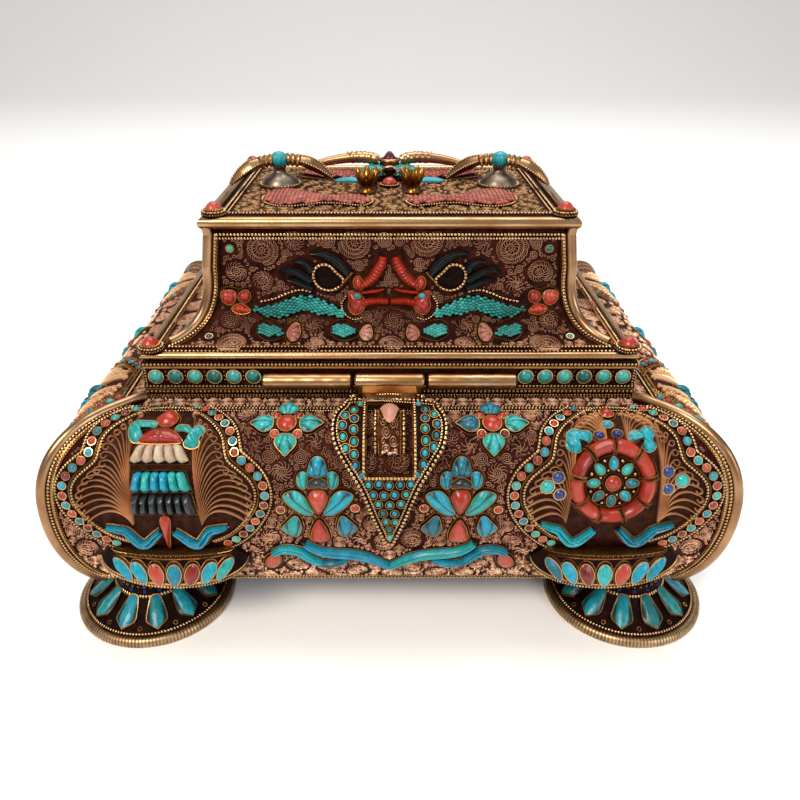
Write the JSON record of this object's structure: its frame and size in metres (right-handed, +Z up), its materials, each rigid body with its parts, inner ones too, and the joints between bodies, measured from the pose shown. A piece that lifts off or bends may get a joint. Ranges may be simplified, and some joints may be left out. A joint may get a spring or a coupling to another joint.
{
  "type": "gau prayer box",
  "caption": "Himalayan gilt filigree casket with bellied sides, coved lid, teardrop hasp over a staple and flared round feet, set with turquoise and coral.",
  "frame": {"origin": "centre of the casket on the ground plane, under its feet", "axes": "+X along the casket's width, to the right of a viewer in front; -Y towards the viewer, the side with the hasp; +Z up"},
  "size_m": [0.2542, 0.2142, 0.1625],
  "materials": {
    "filigree": "gilt filigree wire over a dark copper ground",
    "gilt": "antiqued gilding",
    "turquoise": "polished turquoise in gilt settings",
    "coral": "polished coral in gilt settings",
    "bone": "carved bone, turquoise and black stone"
  },
  "bodies": {
    "casket": {"banner_front_left": "bone", "body": "filigree", "body_tube_back_left": "gilt", "body_tube_back_right": "gilt", "body_tube_front_left": "gilt", "body_tube_front_right": "gilt", "cross_flower_left": "turquoise", "cross_flower_right": "turquoise", "dragon_left": "turquoise", "dragon_right": "turquoise", "foot_back_left": "gilt", "foot_back_right": "gilt", "foot_front_left": "gilt", "foot_front_right": "gilt", "hinge_knuckle_left": "gilt", "hinge_knuckle_right": "gilt", "hinge_pin": "gilt", "knot_left": "gilt", "knot_right": "gilt", "lid": "filigree", "lid_scroll_back": "coral", "lid_scroll_left": "coral", "lid_scroll_right": "coral", "lid_tube_back_left": "gilt", "lid_tube_back_right": "gilt", "lid_tube_front_left": "gilt", "lid_tube_front_right": "gilt", "lotus_back_left": "turquoise", "lotus_back_right": "turquoise", "lotus_left_fore": "turquoise", "lotus_left_rear": "turquoise", "lotus_right_fore": "turquoise", "lotus_right_rear": "turquoise", "lotus_spray_left": "turquoise", "lotus_spray_right": "turquoise", "lower_boss_back_left": "coral", "lower_boss_back_right": "coral", "lower_boss_front_left": "coral", "lower_boss_front_right": "coral", "lower_rail": "gilt", "staple": "gilt", "throne_back_left": "gilt", "throne_back_right": "gilt", "throne_front_left": "gilt", "throne_front_right": "gilt", "throne_left_fore": "gilt", "throne_left_rear": "gilt", "throne_right_fore": "gilt", "throne_right_rear": "gilt", "top_boss_back_left": "coral", "top_boss_back_right": "coral", "top_boss_front_left": "coral", "top_boss_front_right": "coral", "top_fish_left": "coral", "top_fish_right": "coral", "top_mask": "turquoise", "top_rail": "gilt", "wheel_front_right": "coral"},
    "hasp": {"hasp": "turquoise"}
  },
  "joints": [
    {"name": "hasp_hinge", "type": "hinge", "parent": "casket", "child": "hasp", "pos_m": [0, -0.0717, 0.0962], "axis": [-1, 0, 0], "range_deg": [0, 120]}
  ]
}
